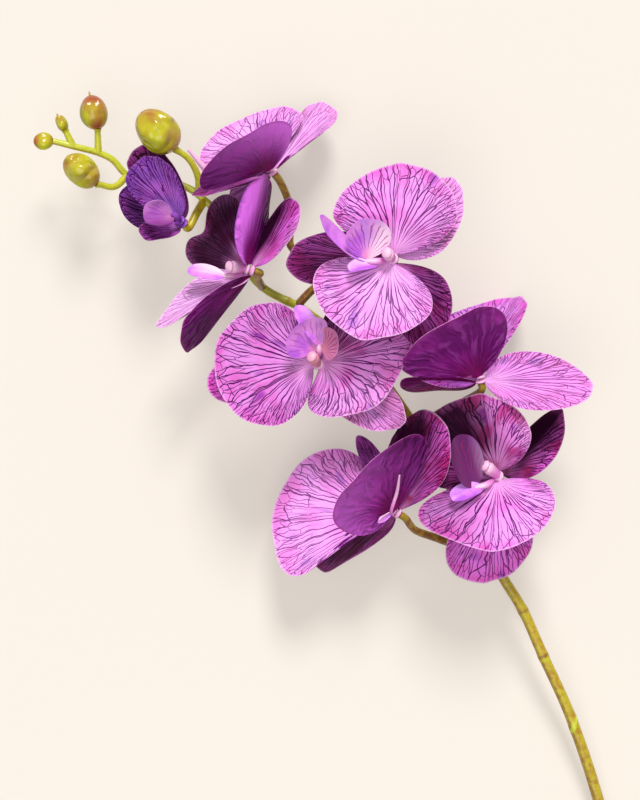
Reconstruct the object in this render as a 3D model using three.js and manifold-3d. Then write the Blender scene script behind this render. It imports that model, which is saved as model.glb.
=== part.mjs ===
// A cut orchid spray lying on a table: one stem, seven open blooms, one half open, five buds.
// Millimetres, +Z up. X and Y lie in the table top, and Z = 0 is the table.

import * as THREE from "three";
import { mergeVertices } from "three/addons/utils/BufferGeometryUtils.js";
import Module from "manifold-3d";

// Driving dimensions.
const BLADE = 0.8; // thickness of a petal, a sepal or a lip lobe
const SEAT_GAP = 0.3; // clearance between pieces that sit on each other
const HUB_RADIUS = 2.7; // the claw where the petals, or the sepals, of a bloom join
const HUB_HALF = 0.95;
const BLADE_ROOT = 0.7; // blades spring from this share of the hub's radius
const PETAL_LIFT = 1.25; // petals spring from above the bloom's centre, sepals from below it
const SEPAL_DROP = 1.25;
const COLUMN_RADIUS = 2.1;
const THROAT_RADIUS = 1.6;
const CLAW_OFFSET = 2.8; // the lip's claw stands beside the foot of the column
const STEM_BASE_RADIUS = 2.65;
const STEM_MID_RADIUS = 2.2;
const STEM_TIP_RADIUS = 1.45;
const PEDICEL_RADIUS = 2;
const BUD_PEDICEL_RADII = [1.8, 1.4]; // where a bud's pedicel leaves the stem, and under the bud
const BUD_CREASE = 0.05; // three shallow creases where the closed sepals meet
const BUD_TIP_SHARE = 0.14; // a bud's end as a share of its width

// The spray is modelled about the middle of its view from above; this point becomes X = Y = 0.
const CENTRE = [9, -63.9];

const wasm = await Module();
wasm.setup();

const vec = (p) => new THREE.Vector3(p[0], p[1], p[2]);
const along = (p, direction, distance) => p.clone().addScaledVector(direction, distance);
const radians = THREE.MathUtils.degToRad;

// One side of a blade: its half width, the share of the length where it is widest, how sharply it
// closes towards the tip and the foot, and how far it runs back past the foot.
const side = (half, widest = 0.5, tip = 1, foot = 1.3, ear = 0) => ({ half, widest, tip, foot, ear });
const petal = (tip, face, right, left, form) => ({ tip, face, right, left, bend: 20, cup: -10, ...form });
const sepal = (tip, face, right, left, form) => ({ tip, face, right, left, bend: 18, cup: 12, ...form });
const lobe = (root, tip, face, half, form) => ({
  root,
  tip,
  face,
  right: side(half, 0.55, 0.9, 1.2),
  left: side(half, 0.55, 0.9, 1.2),
  bend: 10,
  cup: 40,
  ...form,
});

// Blooms from the cut end of the stem to its tip. Tips, roots and columns are measured from the
// bloom's centre; face is the way a bloom or a blade looks.
const BLOOMS = [
  {
    name: "bloom_1",
    centre: [83, -35.5, 40],
    face: [-0.1, 0.2, 1],
    petals: [
      petal([-9, 38.5, 5], [-0.1, -0.2, 1], side(19.5, 0.42, 1.6, 1), side(28, 0.6, 0.7, 1.5)),
      petal([-5.5, -34, 18], [0, 0.5, 1], side(35, 0.6, 1.4, 1.8), side(28, 0.25, 1.4, 0.8, 0.15)),
    ],
    sepals: [
      sepal([31.5, 31, -13], [0.2, 0.1, 1], side(14, 0.38, 1.6, 1.1), side(6), { cup: 34 }),
      sepal([-6, -50.5, -10], [0, 0, 1], side(20, 0.7, 0.6, 1.3), side(20, 0.55, 1.4, 1.3)),
      sepal([-50, 17, -10], [-0.1, 0, 1], side(14), side(14)),
    ],
    column: [-6.4, 5, 8],
    throat: [[-6, -4, 7], [-11.5, -5, 8]],
    lobes: [
      lobe([-11, -5, 8], [-19, 17, 17], [0.5, 0, 1], 8, { bend: -30, cup: 60 }),
      lobe([-7.5, -4.5, 7.5], [-23, -9.5, 13], [0, 0.5, 1], 4.5),
    ],
    pedicel: [[62.5, -43, 24], [73, -42, 25]],
  },
  {
    name: "bloom_2",
    centre: [35.5, -52.5, 38],
    face: [-0.8, 0.5, 0.28],
    petals: [
      petal([-18.5, 19, 32], [-0.57, 0.54, -0.62], side(24, 0.5, 1, 1, 0.1), side(34, 0.42, 1.15, 1.4), {
        bend: 10,
        cup: 10,
      }),
      petal([-58.5, -2, -16], [-0.2, 0.2, 0.95], side(31, 0.45, 1.4, 1.7), side(30, 0.785, 1.2, 6.5), {
        cup: 0,
      }),
    ],
    sepals: [
      sepal([14, 48, 6], [0, 0.1, 1], side(17, 0.5, 0.9, 2), side(13, 0.5, 1.2, 2), { bend: 6 }),
      sepal([-37.5, -28, -38], [-0.84, 0.35, 0.45], side(9), side(16, 0.35, 1.1, 1), { bend: 14, cup: 45 }),
      sepal([-18, 36, -1], [-0.2, 0.2, 0.95], side(6, 0.5, 1.2, 4), side(5, 0.6, 1.2, 4), { bend: -10 }),
    ],
    column: [-7, 3.5, 4.5],
    claw: [-1.2, -1.6, 3.6],
    throat: [[-2.5, 1, 10.5], [0, 10, 14.5], [1, 18, 20]],
    lobes: [lobe([-2, 0.5, 9], [-9, -4, 12], [0.3, -0.3, 0.9], 3)],
    pedicel: [[75, -69, 22], [61.5, -67.5, 24], [54.5, -65, 27], [44.5, -61, 31]],
  },
  {
    name: "bloom_3",
    centre: [74.5, 10, 44],
    face: [-0.2, 0.9, 0.35],
    petals: [
      petal([-19.5, 24, 32], [-0.33, 0.69, -0.64], side(26, 0.6, 0.8, 4), side(26, 0.56, 0.8), {
        bend: 10,
        cup: 10,
      }),
      petal([11, 39, -44], [-0.35, 0.68, 0.62], side(18, 0.76, 0.8, 2.4), side(30, 0.5, 1.3, 2.8), {
        bend: 14,
        cup: 10,
      }),
    ],
    sepals: [
      sepal([52, -3.5, 6], [0, 0.15, 1], side(13.5, 0.5, 0.95), side(14.3, 0.38, 1.45, 0.9)),
      sepal([-37.5, -2, 2], [0, 1, -0.6], side(12, 0.5, 1, 1.2), side(4, 0.5, 1, 2)),
      sepal([-37, 13.5, -14.5], [0, 0.6, 0.8], side(14, 0.5, 1, 2.8), side(14)),
    ],
    column: [-1, 8.5, 2.5],
    throat: [[-5, 4.5, 2], [-8, 5, 2.5]],
    lobes: [
      lobe([-6.5, 4.5, 2], [-18, 6.5, 4], [0, 0.8, 0.5], 4),
      lobe([-6.5, 5, 2.5], [-12, 15, 6], [0.8, 0.2, 0.4], 4.5),
    ],
    pedicel: [[45, -13.5, 24.5], [57, -6, 25], [69, 0, 32]],
  },
  {
    name: "bloom_4",
    centre: [-1, 16.5, 56],
    face: [0, 0.05, 1],
    petals: [
      petal([-47.5, -0.5, 0], [-0.1, 0.1, 1], side(29, 0.42, 1, 0.95), side(28.5, 0.45, 0.95, 1), {
        bend: 24,
      }),
      petal([45.5, 13, -2], [0.1, 0.1, 1], side(27, 0.28, 2.4, 1, 0.3), side(25), { bend: 24 }),
    ],
    sepals: [
      sepal([40, -28, -10], [0.1, -0.1, 1], side(13.5, 0.45, 1.3), side(12, 0.5, 1.3)),
      sepal([-51.5, -10, -14], [-0.1, 0, 1], side(13), side(13)),
      sepal([28, 38, -18], [0, 0.1, 1], side(11), side(11)),
    ],
    column: [-2.7, 3.2, 9.5],
    throat: [[0.5, 6.5, 5], [0.5, 9, 5.5]],
    lobes: [
      lobe([-1, 7, 5], [-8, 17, 14], [0.4, 0, 1], 8, { bend: -30, cup: 60 }),
      lobe([2, 7, 5], [9, 13.5, 14], [-0.5, 0.3, 1], 7, { bend: -30, cup: 60 }),
      lobe([2, 8, 5], [-10, 26.5, 8], [0.2, 0.4, 1], 4.5, { bend: 20, cup: 30 }),
    ],
    pedicel: [[12, 27, 24], [8, 24, 36], [1, 18.5, 48]],
  },
  {
    name: "bloom_5",
    centre: [33, 64, 70],
    face: [-0.12, 0.02, 1],
    petals: [
      petal([4, 43, 6], [0, -0.1, 1], side(27.5, 0.5, 1.05), side(29, 0.4, 1.6, 1.5), {
        bend: 22,
        cup: -14,
      }),
      petal([-14.5, -37, 8], [0, 0.3, 1], side(31, 0.42, 1.1, 1.2), side(25, 0.36, 1.75, 1.1), {
        bend: 26,
        cup: -12,
      }),
    ],
    sepals: [
      sepal([-48.5, -0.5, -12], [-0.2, 0.1, 1], side(13), side(13)),
      sepal([30, 37, -12], [0.2, 0.2, 1], side(15.5, 0.4, 1.35), side(13, 0.5, 1.3)),
      sepal([19, -39.5, -14], [0.3, 0, 1], side(13), side(18, 0.47, 1.4, 2)),
    ],
    column: [-3, 2, 9.5],
    throat: [[-6, -1.5, 5], [-12, -1.5, 6]],
    lobes: [
      lobe([-11.5, -0.5, 6], [-12.5, 16, 14], [0.5, 0.1, 1], 8.5, { bend: -30, cup: 60 }),
      lobe([-12, -1.5, 6], [-32.5, 17.5, 14], [0.5, 0.6, 1], 5, { bend: -40, cup: 30 }),
      lobe([-7, -1.5, 5], [-21.5, -2, 7], [0, 0.6, 1], 3.5, { cup: 50 }),
    ],
    pedicel: [[-10.5, 45, 25.5], [-3, 52.5, 27], [9.5, 59, 38], [22, 62.5, 56]],
  },
  {
    name: "bloom_6",
    centre: [-32.5, 60, 52],
    face: [-0.9, 0.25, 0.35],
    petals: [
      petal([6.5, 43, 10], [-0.9, -0.15, -0.35], side(21), side(22), { bend: 6, cup: 6 }),
      petal([-27.5, 24, -28], [-0.5, 0.1, 0.85], side(23, 0.6), side(15.5, 0.65, 0.9, 1.8), {
        bend: 6,
        cup: 6,
        notch: 0.2,
      }),
    ],
    sepals: [
      sepal([-43.5, -26, -6], [-0.2, 0.4, 0.9], side(11, 0.3, 1.6, 3.2), side(8, 0.4, 1.3, 1.3), {
        bend: 10,
        cup: 40,
      }),
      sepal([20, 33.5, -6], [-0.9, -0.3, 0.36], side(13.5), side(7), { bend: -20 }),
      sepal([-30, -36, 10], [-0.55, 0.6, -0.45], side(14, 0.5, 1, 2), side(13, 0.5, 1, 2)),
    ],
    column: [-9, 1, 7],
    throat: [[-6, -3, 1.5], [-12, -3, 2.5]],
    lobes: [lobe([-11, -3, 2.5], [-28.5, 0, 2], [0, 0.5, 1], 4, { cup: 30 })],
    pedicel: [[-27.5, 53.5, 26], [-28, 54.5, 36], [-29, 57.5, 46]],
  },
  {
    name: "bloom_7",
    centre: [-22.5, 107, 40],
    face: [-0.55, 0.65, 0.35],
    petals: [
      petal([-17.5, 8.5, 35], [-0.46, 0.79, -0.4], side(27.5, 0.48, 1, 4), side(23, 0.46), {
        bend: 10,
        cup: 10,
      }),
      petal([-18.5, 26, -26], [-0.25, 0.6, 0.75], side(28, 0.5, 1, 3), side(27), { cup: 0 }),
    ],
    sepals: [
      sepal([25.5, 35, -28], [-0.3, -0.1, 0.95], side(10, 0.78, 0.8, 6), side(6.7, 0.75, 0.8)),
      sepal([-37.5, -11, -6], [-0.3, 0.75, 0.5], side(9), side(8)),
      sepal([-23, -13.5, -40], [-0.4, 0.3, 0.85], side(13), side(13), { bend: 10 }),
    ],
    column: [-6.5, 5.5, 2],
    throat: [[-6, 1, 0], [-16, -0.5, 0.5], [-27, -2, 2.5], [-38.5, 9, 8]],
    lobes: [lobe([-8, 1, 0], [-14, 9, 3], [-0.3, -0.6, 0.6], 3.5)],
    pedicel: [
      [9.5, 30, 25],
      [6, 48, 25],
      [-1, 62, 26],
      [-9, 68.5, 27],
      [-14, 73, 27],
      [-13.5, 84, 28],
      [-15, 94, 31],
    ],
  },
];

// The half-open bloom: three cupped sepals round one inner petal and a folded lip.
const HALF_OPEN = {
  name: "bloom_8",
  centre: [-65, 83.5, 34],
  face: [-0.5, 0.5, 0.7],
  petals: [
    petal([-19.4, 27.9, 11.5], [0, 0, 1], side(12, 0.62, 0.8, 1), side(10, 0.75, 0.8, 1.4), {
      bend: -20,
      cup: 34,
    }),
  ],
  sepals: [
    sepal([-20.4, 35.9, -5], [0, 0, 1], side(11.5, 0.58, 0.8, 1), side(13, 0.7, 0.8, 1.2), {
      bend: -30,
      cup: 60,
    }),
    sepal([-28.1, 13.6, 5], [0.4, -0.2, 0.9], side(9), side(12.5, 0.5, 1, 1.2), { bend: -30, cup: 50 }),
    sepal([-18.5, -7, 12], [0.1, 0.6, 0.8], side(8), side(6.5), { bend: -20, cup: 40 }),
  ],
  throat: [[-2, 2, 6.5], [-4, 3, 8.5]],
  lobes: [lobe([-3, 2.5, 7.5], [-15.5, 7, 17], [0, 0.3, 1], 8, { bend: -20, cup: 30 })],
  pedicel: [[-55, 94.5, 23.5], [-58, 89, 26]],
};

// Buds from the tip of the stem down: where each pedicel leaves the stem, and the bud's two ends.
const BUDS = [
  { name: "bud_1", foot: [-125.5, 121.5, 34], end: [-134.5, 121.5, 34], width: 8.3, pedicel: [] },
  { name: "bud_2", foot: [-119.5, 126.5, 34.5], end: [-123, 133.5, 35], width: 5.5, pedicel: [[-116, 119, 33]] },
  { name: "bud_3", foot: [-104.5, 127.5, 33], end: [-108, 143, 34], width: 13, pedicel: [[-104.5, 116.5, 30]] },
  {
    name: "bud_4",
    foot: [-105, 101.5, 34],
    end: [-119, 113.5, 38],
    width: 14.5,
    pedicel: [[-91, 106.5, 25], [-97, 100.5, 30]],
  },
  {
    name: "bud_5",
    foot: [-68, 117.5, 38],
    end: [-83.5, 133, 46],
    width: 19,
    pedicel: [[-57.5, 97, 23.5], [-57.5, 105, 29], [-61.5, 113, 34]],
  },
];

// The stem from its cut end to the topmost bud, bending back on itself under the upper blooms.
const STEM = [
  [150, -271, 2.7],
  [149, -258.5, 2.8],
  [141, -222, 4],
  [134, -192.5, 7],
  [122, -151, 12],
  [107.5, -122, 16],
  [96.5, -100, 19],
  [87, -84.5, 21],
  [73.5, -61.5, 23],
  [62.5, -42.5, 24],
  [52, -23.5, 25],
  [38.5, -2.5, 25],
  [31, 8, 25],
  [21.5, 19, 25],
  [9.5, 30, 25],
  [-2.5, 39, 25],
  [-10.5, 44.5, 25],
  [-18, 48, 25.5],
  [-24.5, 51.5, 26],
  [-30.5, 56.5, 26],
  [-35, 64, 26.5],
  [-38, 72, 25.5],
  [-41.5, 80.5, 24],
  [-46.5, 87, 23.5],
  [-54.5, 94.5, 23.5],
  [-61.5, 100, 23.5],
  [-73.5, 104, 23],
  [-91, 106.5, 25],
  [-98, 113.5, 28],
  [-104.5, 116.5, 30],
  [-115, 119, 33],
  [-125.3, 121.5, 34],
];
const STEM_MID_SHARE = 0.45; // share of the stem's length at which it has thinned to its middle radius
const STEM_STEPS = 60;
const STEM_SIDES = 7;
const PEDICEL_SIDES = 6;

// Dry bract collars on the bare part of the stem, as shares of its length.
const COLLARS = [0.235, 0.31, 0.36];
const COLLAR_LENGTH = 4;
const COLLAR_FLARE = 0.6;

// A closed mesh from positions and triangles, as a solid.
function solid(positions, triangles) {
  const mesh = new wasm.Mesh({
    numProp: 3,
    vertProperties: new Float32Array(positions.flatMap((p) => [p.x, p.y, p.z])),
    triVerts: new Uint32Array(triangles.flat()),
  });
  return new wasm.Manifold(mesh);
}

// A three.js geometry as a solid.
function solidOf(geometry) {
  geometry.deleteAttribute("normal");
  geometry.deleteAttribute("uv");
  const merged = mergeVertices(geometry, 1e-4);
  return new wasm.Manifold(
    new wasm.Mesh({
      numProp: 3,
      vertProperties: merged.attributes.position.array,
      triVerts: new Uint32Array(merged.index.array),
    }),
  );
}

// The curved middle surface of a blade, as a function of the outline position q, which runs from -1
// at the foot round the tip at 0 to 1 at the foot again, and of the share r of the way out to it.
function surface(blade, root) {
  const tip = vec(blade.tip);
  const chord = tip.clone().sub(root);
  const reach = chord.length();
  const u = chord.clone().normalize();
  const n = vec(blade.face);
  n.addScaledVector(u, -n.dot(u)).normalize();
  const w = new THREE.Vector3().crossVectors(u, n);
  const bend = radians(blade.bend);
  const length = (reach * bend) / 2 / Math.sin(bend / 2);
  const halfMean = (blade.right.half + blade.left.half) / 2;
  const curl = radians(blade.cup) / halfMean;

  return (q, r) => {
    const form = q > 0 ? blade.right : blade.left;
    const turn = Math.abs(q) * Math.PI;
    const open = Math.max(Math.sin(turn), 0);
    const beyond = turn < Math.PI / 2 ? 1 - form.widest : form.widest;
    const notch = 1 - (blade.notch ?? 0) * Math.exp(-((q / 0.12) ** 2));
    const ear = turn > Math.PI / 2 ? form.ear * length * Math.max(Math.sin(2 * turn - Math.PI), 0) : 0;
    const y = ((form.widest + beyond * Math.cos(turn)) * length - ear) * r * notch;
    const x = form.half * open ** (turn < Math.PI / 2 ? form.tip : form.foot) * Math.sign(q) * r * notch;

    const f = (y / length - 0.5) * bend;
    const forward = (length / bend) * (Math.sin(f) + Math.sin(bend / 2));
    const rise = (length / bend) * (Math.cos(f) - Math.cos(bend / 2));
    const across = curl ? Math.sin(curl * x) / curl : x;
    const lift = curl ? (1 - Math.cos(curl * x)) / curl : 0;
    const p = along(along(root, u, forward), n, rise);
    p.addScaledVector(w, across);
    p.addScaledVector(n, lift * Math.cos(f)).addScaledVector(u, lift * Math.sin(f));
    p.z = Math.max(p.z, BLADE / 2);
    return p;
  };
}

// A blade of even thickness: a fan of rays from its foot, the same triangles on both faces.
function blade(form, root, rays, rings) {
  const at = surface(form, root);
  const middle = [at(-1, 0)];
  const index = (ray, ring) => (ring === 0 ? 0 : 1 + (ray - 1) * rings + ring - 1);
  for (let ray = 1; ray < rays; ray++) {
    for (let ring = 1; ring <= rings; ring++) {
      middle.push(at(-1 + (2 * ray) / rays, ring / rings));
    }
  }
  const faces = [];
  for (let ray = 1; ray < rays - 1; ray++) {
    faces.push([0, index(ray + 1, 1), index(ray, 1)]);
    for (let ring = 1; ring < rings; ring++) {
      const [a, b] = [index(ray, ring), index(ray + 1, ring)];
      const [c, d] = [index(ray + 1, ring + 1), index(ray, ring + 1)];
      faces.push([a, b, c], [a, c, d]);
    }
  }

  // Each vertex is offset along the mean normal of the triangles round it.
  const normals = middle.map(() => new THREE.Vector3());
  for (const [a, b, c] of faces) {
    const edge = middle[b].clone().sub(middle[a]);
    const turn = edge.cross(middle[c].clone().sub(middle[a]));
    for (const corner of [a, b, c]) normals[corner].add(turn);
  }
  const count = middle.length;
  const positions = [];
  for (const sign of [1, -1]) {
    middle.forEach((p, i) => positions.push(along(p, normals[i].normalize(), (sign * BLADE) / 2)));
  }
  const triangles = faces.flatMap(([a, b, c]) => [
    [a, b, c],
    [a + count, c + count, b + count],
  ]);

  // The rim joins the two faces: up the first ray, round the outline and down the last ray.
  const rim = [0];
  for (let ring = 1; ring <= rings; ring++) rim.push(index(rays - 1, ring));
  for (let ray = rays - 2; ray >= 1; ray--) rim.push(index(ray, rings));
  for (let ring = rings - 1; ring >= 1; ring--) rim.push(index(1, ring));
  rim.forEach((a, i) => {
    const b = rim[(i + 1) % rim.length];
    triangles.push([b, a, a + count], [b, a + count, b + count]);
  });
  return solid(positions, triangles);
}

// A solid swept along a smooth path, closed at both ends. The radius is a function of the share of
// the path and of the angle round it.
function sweep(points, radius, steps, sides) {
  const path = new THREE.CatmullRomCurve3(points, false, "centripetal");
  const frames = path.computeFrenetFrames(steps, false);
  const positions = [];
  for (let step = 0; step <= steps; step++) {
    const middle = path.getPointAt(step / steps);
    for (let i = 0; i < sides; i++) {
      const angle = (2 * Math.PI * i) / sides;
      const r = radius(step / steps, angle);
      const p = along(middle, frames.normals[step], r * Math.cos(angle));
      positions.push(along(p, frames.binormals[step], r * Math.sin(angle)));
    }
  }
  const triangles = [];
  for (let step = 0; step < steps; step++) {
    for (let i = 0; i < sides; i++) {
      const j = (i + 1) % sides;
      const [a, b] = [step * sides + i, step * sides + j];
      triangles.push([a, b, b + sides], [a, b + sides, a + sides]);
    }
  }
  const last = steps * sides;
  for (let i = 1; i < sides - 1; i++) {
    triangles.push([0, i + 1, i], [last, last + i, last + i + 1]);
  }
  const made = solid(positions, triangles);
  if (made.volume() > 0) return made;
  return solid(
    positions,
    triangles.map(([a, b, c]) => [a, c, b]),
  );
}

// A turned solid from (radius, height) pairs, standing at a point and looking along a direction.
function turned(profile, place, direction, segments) {
  const outline = profile.map(([r, h]) => new THREE.Vector2(r, h));
  const turn = new THREE.Quaternion().setFromUnitVectors(new THREE.Vector3(0, 1, 0), direction);
  const matrix = new THREE.Matrix4().compose(place, turn, new THREE.Vector3(1, 1, 1));
  return solidOf(new THREE.LatheGeometry(outline, segments).applyMatrix4(matrix));
}

// One body from overlapping solids; a sliver that the cut leaves loose is dropped.
function join(solids) {
  const whole = solids.reduce((made, next) => made.add(next));
  return whole.decompose().reduce((most, next) => (next.volume() > most.volume() ? next : most));
}

const hub = (centre, face) =>
  turned(
    [
      [0, -HUB_HALF],
      [HUB_RADIUS * 0.7, -HUB_HALF],
      [HUB_RADIUS, -HUB_HALF * 0.3],
      [HUB_RADIUS, HUB_HALF * 0.3],
      [HUB_RADIUS * 0.7, HUB_HALF],
      [0, HUB_HALF],
    ],
    centre,
    face,
    9,
  );

// A ring of blades joined at one hub.
function whorl(bloom, forms, lift, rays, rings) {
  const centre = vec(bloom.centre);
  const face = vec(bloom.face).normalize();
  const middle = along(centre, face, lift);
  const blades = forms.map((form) => {
    const tip = centre.clone().add(vec(form.tip));
    const out = tip.clone().sub(middle).projectOnPlane(face).normalize();
    const root = along(middle, out, HUB_RADIUS * BLADE_ROOT);
    return blade({ ...form, tip: tip.toArray() }, root, rays, rings);
  });
  return join([hub(middle, face), ...blades]);
}

// The column: a short stalk that widens to the rounded anther cap.
function column(bloom) {
  const centre = vec(bloom.centre);
  const face = vec(bloom.face).normalize();
  const end = centre.clone().add(vec(bloom.column));
  const lean = face.angleTo(vec(bloom.column));
  const seat = PETAL_LIFT + HUB_HALF + SEAT_GAP + COLUMN_RADIUS * Math.sin(lean);
  const foot = along(centre, face, seat);
  const axis = end.clone().sub(foot);
  const length = axis.length();
  const profile = [
    [0, 0],
    [COLUMN_RADIUS * 0.75, 0],
    [COLUMN_RADIUS * 0.85, length * 0.4],
    [COLUMN_RADIUS, length * 0.7],
    [COLUMN_RADIUS * 0.9, length * 0.9],
    [COLUMN_RADIUS * 0.5, length],
    [0, length * 1.03],
  ];
  return turned(profile, foot, axis.normalize(), 8);
}

// The lip: a short throat in front of the petals that carries the lobes.
function lip(bloom) {
  const centre = vec(bloom.centre);
  const place = (p) => centre.clone().add(vec(p));
  const face = vec(bloom.face).normalize();
  const first = place(bloom.throat[0]);
  const out = first.clone().sub(centre).projectOnPlane(face).normalize();
  const beside = along(along(centre, face, PETAL_LIFT + HUB_HALF + 2 * SEAT_GAP), out, CLAW_OFFSET);
  const claw = bloom.claw ? place(bloom.claw) : beside;
  const round = (share) => THROAT_RADIUS * (0.5 + 0.5 * Math.sin(Math.PI * share));
  const throat = sweep([claw, ...bloom.throat.map(place)], round, 3 + bloom.throat.length, 7);
  const placed = (form) => blade({ ...form, tip: place(form.tip).toArray() }, place(form.root), 8, 3);
  return join([throat, ...bloom.lobes.map(placed)]);
}

// A closed bud: egg-shaped, with three shallow creases, on the end of its pedicel.
function bud(form) {
  const axis = vec(form.end).sub(vec(form.foot)).normalize();
  const foot = along(vec(form.foot), axis, 3 * SEAT_GAP);
  const swell = (share) => BUD_TIP_SHARE + (1 - BUD_TIP_SHARE) * Math.sqrt(1 - (2 * share - 1) ** 2);
  const radius = (share, angle) => (form.width / 2) * swell(share) * (1 + BUD_CREASE * Math.cos(3 * angle));
  const middle = foot.clone().lerp(vec(form.end), 0.5);
  return sweep([foot, middle, vec(form.end)], radius, 8, 12);
}

function stemRadius(share) {
  if (share < STEM_MID_SHARE) {
    return THREE.MathUtils.lerp(STEM_BASE_RADIUS, STEM_MID_RADIUS, share / STEM_MID_SHARE);
  }
  const beyond = (share - STEM_MID_SHARE) / (1 - STEM_MID_SHARE);
  return THREE.MathUtils.lerp(STEM_MID_RADIUS, STEM_TIP_RADIUS, beyond);
}

// The stem, its collars and every pedicel, grown as one piece.
function stem() {
  const axis = STEM.map(vec);
  const path = new THREE.CatmullRomCurve3(axis, false, "centripetal");
  const pieces = [sweep(axis, stemRadius, STEM_STEPS, STEM_SIDES)];
  for (const share of COLLARS) {
    const half = COLLAR_LENGTH / 2 / path.getLength();
    const ends = [share - half, share, share + half].map((s) => path.getPointAt(s));
    const flare = (s) => stemRadius(share) + COLLAR_FLARE * (1 - s);
    pieces.push(sweep(ends, flare, 3, STEM_SIDES));
  }
  for (const bloom of [...BLOOMS, HALF_OPEN]) {
    const face = vec(bloom.face).normalize();
    const seat = -(SEPAL_DROP + HUB_HALF + SEAT_GAP);
    const end = along(vec(bloom.centre), face, seat);
    const neck = along(vec(bloom.centre), face, seat - 3);
    const flare = (s) => PEDICEL_RADIUS * (1 - 0.15 * Math.max(0, 4 * s - 3));
    const points = [...bloom.pedicel.map(vec), neck, end];
    pieces.push(sweep(points, flare, 2 * points.length - 1, PEDICEL_SIDES));
  }
  for (const { pedicel, foot } of BUDS) {
    if (pedicel.length === 0) continue;
    const thin = (s) => THREE.MathUtils.lerp(...BUD_PEDICEL_RADII, s);
    pieces.push(sweep([...pedicel.map(vec), vec(foot)], thin, 2 + pedicel.length, PEDICEL_SIDES));
  }
  return join(pieces);
}

const group = new THREE.Group();
group.name = "orchid_spray";

const LOOKS = {
  petals: { color: 0xdc86e2, roughness: 0.6 },
  sepals: { color: 0xa648ae, roughness: 0.6 },
  lip: { color: 0xc79be6, roughness: 0.5 },
  column: { color: 0xf3d9e6, roughness: 0.5 },
  bud: { color: 0xb9bb1c, roughness: 0.35 },
  stem: { color: 0x8c8a2e, roughness: 0.5 },
};

function place(name, made, look) {
  const mesh = made.getMesh();
  const points = [];
  for (let i = 0; i < mesh.numVert; i++) {
    const [x, y, z] = mesh.vertProperties.subarray(i * mesh.numProp, i * mesh.numProp + 3);
    points.push(x - CENTRE[0], y - CENTRE[1], z);
  }
  const geometry = new THREE.BufferGeometry();
  geometry.setAttribute("position", new THREE.Float32BufferAttribute(points, 3));
  geometry.setIndex(new THREE.BufferAttribute(new Uint32Array(mesh.triVerts), 1));
  geometry.computeVertexNormals();
  const material = new THREE.MeshStandardMaterial({ ...LOOKS[look], metalness: 0, side: THREE.FrontSide });
  const object = new THREE.Mesh(geometry, material);
  object.name = name;
  group.add(object);
}

for (const bloom of BLOOMS) {
  place(bloom.name + "_petals", whorl(bloom, bloom.petals, PETAL_LIFT, 14, 4), "petals");
  place(bloom.name + "_sepals", whorl(bloom, bloom.sepals, -SEPAL_DROP, 10, 3), "sepals");
  place(bloom.name + "_column", column(bloom), "column");
  place(bloom.name + "_lip", lip(bloom), "lip");
}
place("bloom_8_petal", whorl(HALF_OPEN, HALF_OPEN.petals, PETAL_LIFT, 10, 4), "petals");
place("bloom_8_sepals", whorl(HALF_OPEN, HALF_OPEN.sepals, -SEPAL_DROP, 10, 4), "sepals");
place("bloom_8_lip", lip(HALF_OPEN), "lip");
for (const form of BUDS) place(form.name, bud(form), "bud");
place("stem", stem(), "stem");

export default group;
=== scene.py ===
"""A cut orchid spray lying on a table: veined petals and sepals, lips, columns, buds and a stem."""

import math

import bpy
import numpy as np
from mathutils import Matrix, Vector


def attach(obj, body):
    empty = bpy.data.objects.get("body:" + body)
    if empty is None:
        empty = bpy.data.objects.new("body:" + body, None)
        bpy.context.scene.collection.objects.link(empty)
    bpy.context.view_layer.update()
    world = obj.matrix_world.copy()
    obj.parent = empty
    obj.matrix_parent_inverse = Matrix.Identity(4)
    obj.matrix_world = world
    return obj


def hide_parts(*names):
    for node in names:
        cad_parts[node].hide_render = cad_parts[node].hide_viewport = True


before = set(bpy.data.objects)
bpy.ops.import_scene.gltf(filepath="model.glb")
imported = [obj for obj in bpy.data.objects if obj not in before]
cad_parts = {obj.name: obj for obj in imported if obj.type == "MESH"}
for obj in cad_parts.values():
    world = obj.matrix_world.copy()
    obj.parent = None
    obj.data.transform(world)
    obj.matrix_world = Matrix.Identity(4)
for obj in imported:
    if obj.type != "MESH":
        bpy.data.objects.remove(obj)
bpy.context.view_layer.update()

# Lengths are in millimetres until a mesh is made. The spray is measured about the middle of its
# view from above, and MIDDLE is the point that becomes X = Y = 0.
MIDDLE = np.array([9.0, -63.9, 0.0])
METRE = 1000.0

# Nothing lies lower than these heights above the table.
LEAST_BLADE_MIDDLE = 0.4
LEAST_BLADE_FACE = 0.1
LEAST_TUBE = 0.06

# A bloom's blades meet in two discs, the petals' in front of its centre and the sepals' behind it.
HUB_RADIUS = 2.7
HUB_HALF = 0.95
PETAL_LIFT = 1.25
SEPAL_DROP = 1.25
SEAT_GAP = 0.3
BLADE_START = 0.7  # the share of a disc's radius where its blades begin
CLAW_OFFSET = 2.8  # from a bloom's middle to where its lip begins
COLUMN_RADIUS = 2.1
CAP_RADIUS = 2.6
THROAT_RADIUS = 1.6
PEDICEL_RADIUS = 2.0

# A blade's thickness, the fine ribs along it and the fold down its middle.
BLADE_THICKNESS = 0.5
RIBS = 8
RIB_HEIGHT = 0.06
FOLD_DEPTH = 0.35
FOLD_WIDTH = 1.1
RIM_NOTCH = 0.006
FIRST_RING = 0.015  # the share of the way out where a blade's grid begins

# How each kind of blade is made: its grid, its finish in front and behind, and its first seed.
BLADE_KINDS = dict(
    petal=dict(rays=96, rings=36, front="petal_front", back="petal_back", seed=0),
    sepal=dict(rays=76, rings=30, front="sepal_front", back="sepal_back", seed=100),
    lobe=dict(rays=44, rings=20, front="lip", back="lip", seed=400),
)


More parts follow.
